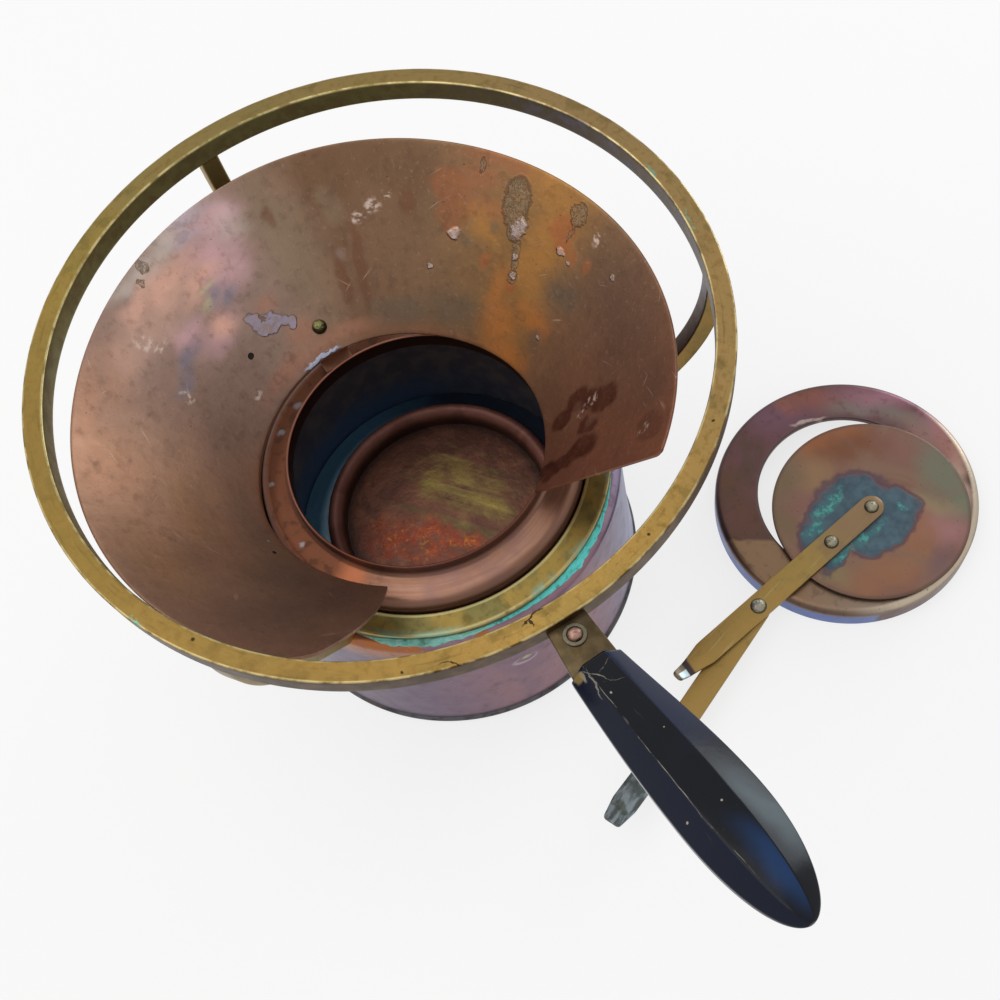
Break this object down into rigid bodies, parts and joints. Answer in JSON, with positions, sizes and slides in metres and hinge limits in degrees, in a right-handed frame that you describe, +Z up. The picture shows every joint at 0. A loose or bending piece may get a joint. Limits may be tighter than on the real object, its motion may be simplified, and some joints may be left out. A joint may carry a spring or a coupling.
{
  "type": "chafing dish burner stand",
  "caption": "Copper and brass spirit burner stand of a chafing dish: trivet ring on legs, drum base, lift-out burner with wind shield, black handle, loose regulator lid with swinging shutter.",
  "frame": {"origin": "centre of the stand's underside, on the table", "axes": "+Z up along the stand's axis, +X along the handle, the regulator lid lies on the +Y side"},
  "size_m": [0.3363, 0.3234, 0.1921],
  "materials": {
    "brass": "aged brass, satin, with brown tarnish and some verdigris",
    "copper": "copper sheet, satin, brown and pink heat tarnish",
    "dark_copper": "copper sheet, semi-gloss, purple tarnish",
    "grey_edge": "tinned copper edge, dull grey",
    "black_grip": "black moulded grip, glossy, scratched"
  },
  "bodies": {
    "stand": {"base_shell": "dark_copper", "base_floor": "dark_copper", "foot_ring": "grey_edge", "burner_well": "dark_copper", "gallery_ring": "brass", "leg_rear": "brass", "leg_left": "brass", "leg_right": "brass", "trivet_ring": "brass", "leg_pins": "brass", "foot_pins": "brass", "ring_lug": "brass", "handle_bracket": "brass", "bracket_washer": "brass", "bracket_rivet": "copper", "handle_grip": "black_grip", "tang_pin": "brass"},
    "burner_unit": {"burner_pot": "copper", "burner_top": "copper", "fuel_pan": "copper", "wind_shield": "copper", "shield_tab": "brass", "shield_rivet": "brass"},
    "regulator": {"regulator_cap": "dark_copper", "regulator_arm": "brass", "arm_rivet": "brass", "pivot_washer": "brass", "pivot_rivet": "brass"},
    "shutter": {"shutter_disc": "copper", "shutter_lever": "brass", "lever_rivets": "brass"}
  },
  "joints": [
    {"name": "burner_lift", "type": "slide", "parent": "stand", "child": "burner_unit", "axis": [0, 0, 1], "range_m": [0, 0.135]},
    {"name": "regulator_slide", "type": "slide", "parent": "stand", "child": "regulator", "axis": [-0.3387, 0.9409, 0], "range_m": [0, 0.15]},
    {"name": "shutter_swing", "type": "hinge", "parent": "regulator", "child": "shutter", "pos_m": [0.0992, 0.0894, 0.0138], "axis": [0, 0, -1], "range_deg": [-11, 62]}
  ]
}
